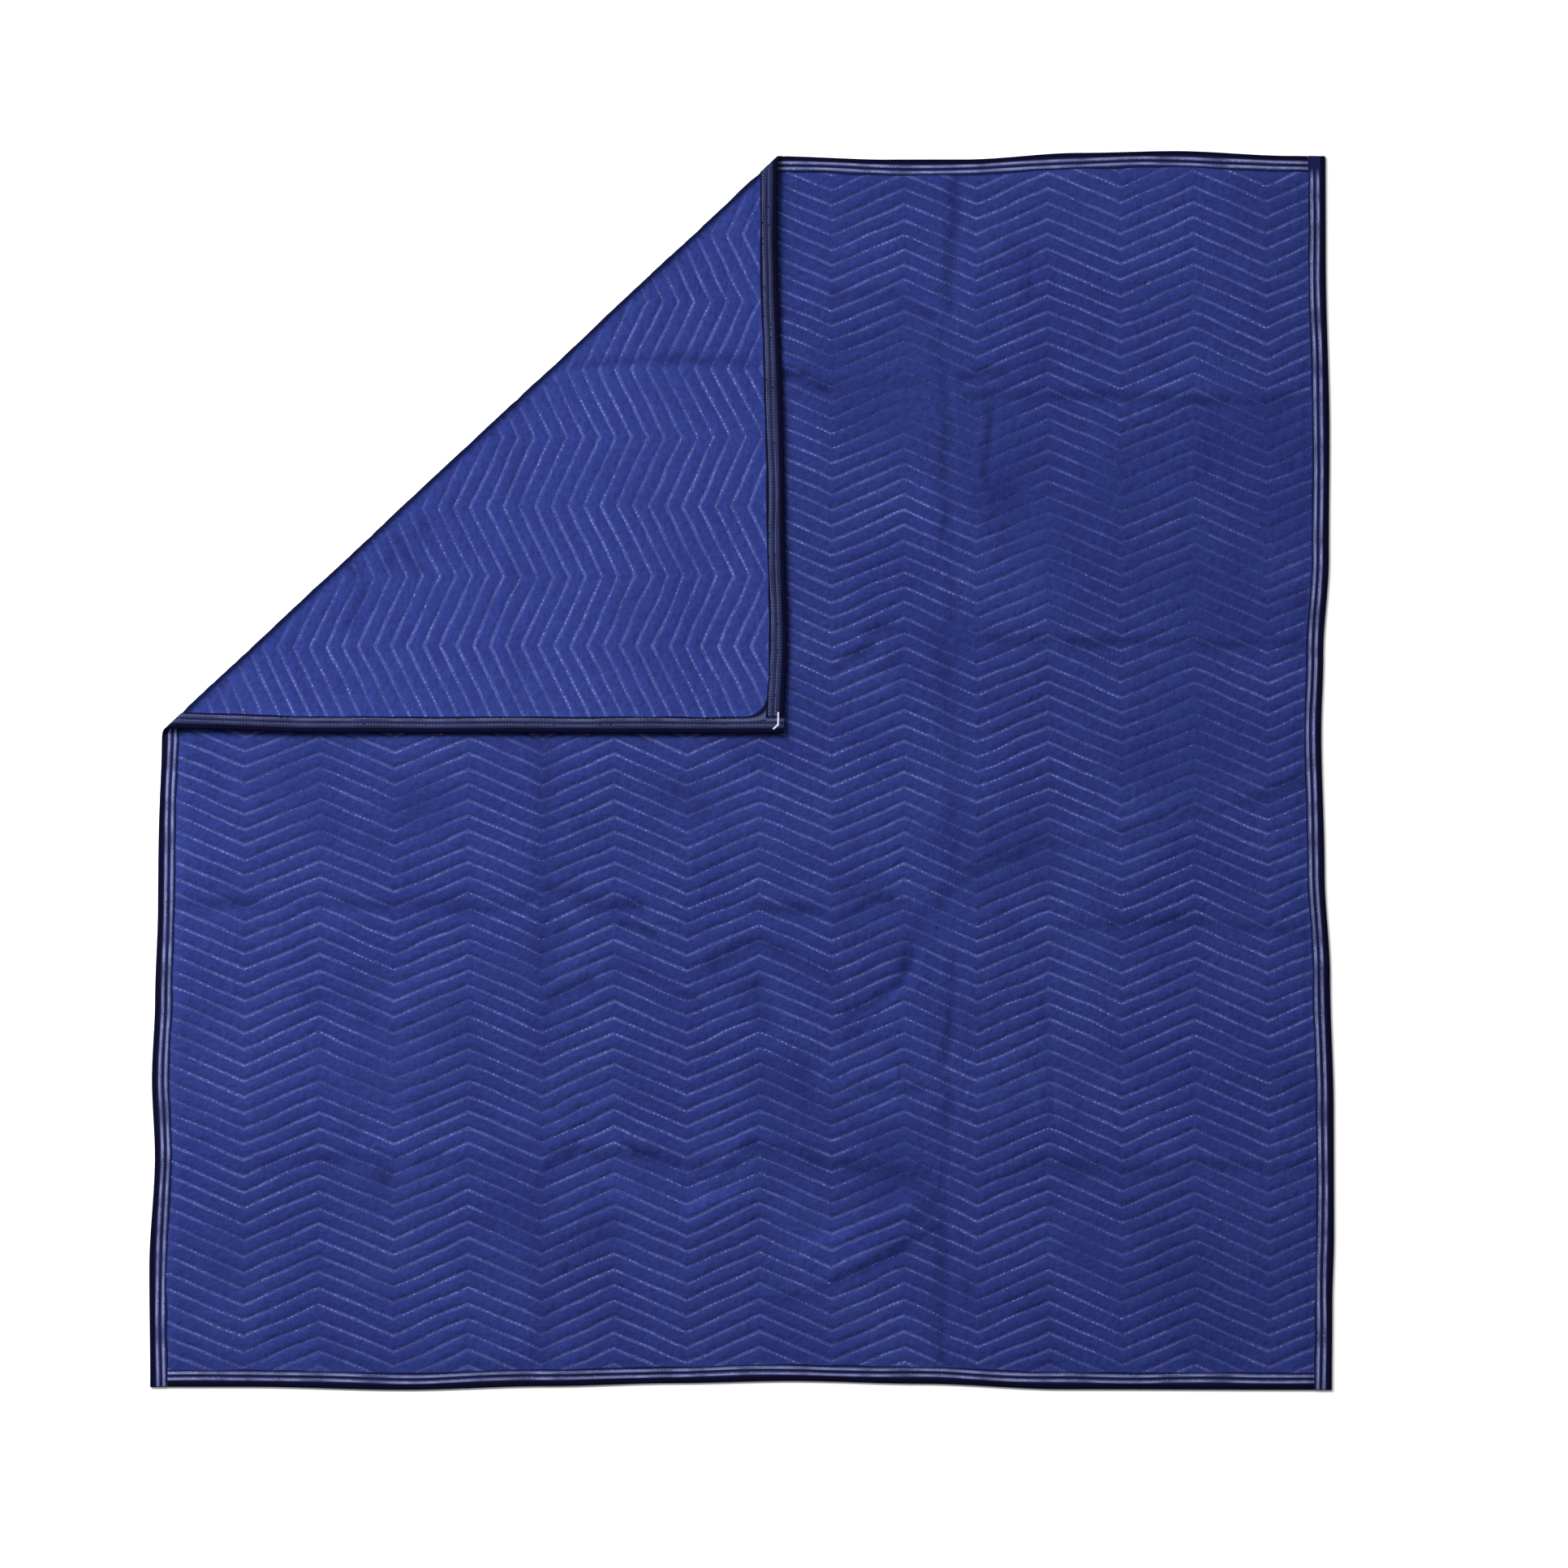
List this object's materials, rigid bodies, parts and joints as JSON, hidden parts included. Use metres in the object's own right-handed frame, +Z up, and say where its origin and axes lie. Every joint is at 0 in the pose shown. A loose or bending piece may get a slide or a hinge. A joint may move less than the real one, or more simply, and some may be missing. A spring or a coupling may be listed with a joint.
{
  "type": "moving blanket",
  "caption": "Quilted moving blanket lying flat, face up, with one corner folded over onto its face and a woven tape sewn over its edges.",
  "frame": {"origin": "under the middle of the outline as it lies, on the surface it lies on", "axes": "+X across the width to the right, +Y along the length towards the folded corner's end, +Z up out of the face"},
  "size_m": [1.8338, 2.051, 0.016],
  "materials": {
    "quilted_cloth": "blue woven face and back cloth, quilted in zigzag rows, dull with a faint sheen",
    "edge_tape": "dark navy woven tape, dull, with two rows of grey lilac stitches"
  },
  "bodies": {
    "root": {"quilted_panel": "quilted_cloth", "binding_left": "edge_tape", "binding_right": "edge_tape", "binding_top": "edge_tape", "binding_bottom": "edge_tape"}
  },
  "joints": []
}
